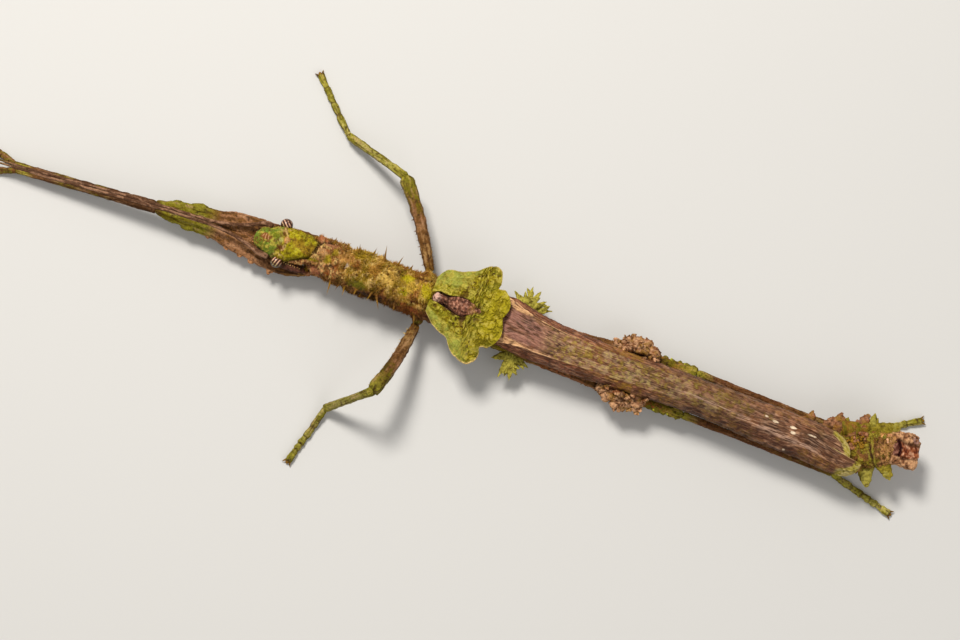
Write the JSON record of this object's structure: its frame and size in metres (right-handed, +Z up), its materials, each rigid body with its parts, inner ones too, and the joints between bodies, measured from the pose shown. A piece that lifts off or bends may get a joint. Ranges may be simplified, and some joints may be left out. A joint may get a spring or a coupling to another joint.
{
  "type": "neoclides stick insect model",
  "caption": "Still, life-size model of a winged mossy stick insect, flat on its feet, forelegs and feelers stretched forward, hind legs back along the body.",
  "frame": {"origin": "on the floor plane that the feet rest on, under the middle of the whole insect's box", "axes": "+X towards the end of the abdomen (the head points to -X), +Y to the insect's right side, +Z up"},
  "size_m": [0.1218, 0.0467, 0.0086],
  "materials": {
    "head": "rough green, moss-like cuticle",
    "eye": "glossy dark brown with pale stripes",
    "antenna": "brown, ringed",
    "thorax": "rough olive-brown cuticle with spines",
    "abdomen": "rough brown and green cuticle",
    "tegmen": "yellow-green, mottled, veined",
    "hindwing": "purple-brown, like bark, veined",
    "leg": "rough brown to green cuticle with lobes"
  },
  "bodies": {
    "root": {"abdomen_1": "abdomen", "abdomen_2": "abdomen", "abdomen_3": "abdomen", "abdomen_4": "abdomen", "abdomen_end": "abdomen", "abdomen_tip": "abdomen", "antenna_left": "antenna", "antenna_right": "antenna", "eye_left": "eye", "eye_right": "eye", "fore_coxa_left": "leg", "fore_coxa_right": "leg", "fore_femur_left": "leg", "fore_femur_right": "leg", "fore_tarsus_left": "leg", "fore_tarsus_right": "leg", "fore_tibia_left": "leg", "fore_tibia_right": "leg", "head": "head", "hind_coxa_left": "leg", "hind_coxa_right": "leg", "hind_femur_left": "leg", "hind_femur_right": "leg", "hind_tarsus_left": "leg", "hind_tarsus_right": "leg", "hind_tibia_left": "leg", "hind_tibia_right": "leg", "hindwing_left": "hindwing", "hindwing_right": "hindwing", "mesothorax": "thorax", "metathorax": "thorax", "mid_coxa_left": "leg", "mid_coxa_right": "leg", "mid_femur_left": "leg", "mid_femur_right": "leg", "mid_tarsus_left": "leg", "mid_tarsus_right": "leg", "mid_tibia_left": "leg", "mid_tibia_right": "leg", "prothorax": "thorax", "tegmen_left": "tegmen", "tegmen_right": "tegmen"}
  },
  "joints": []
}
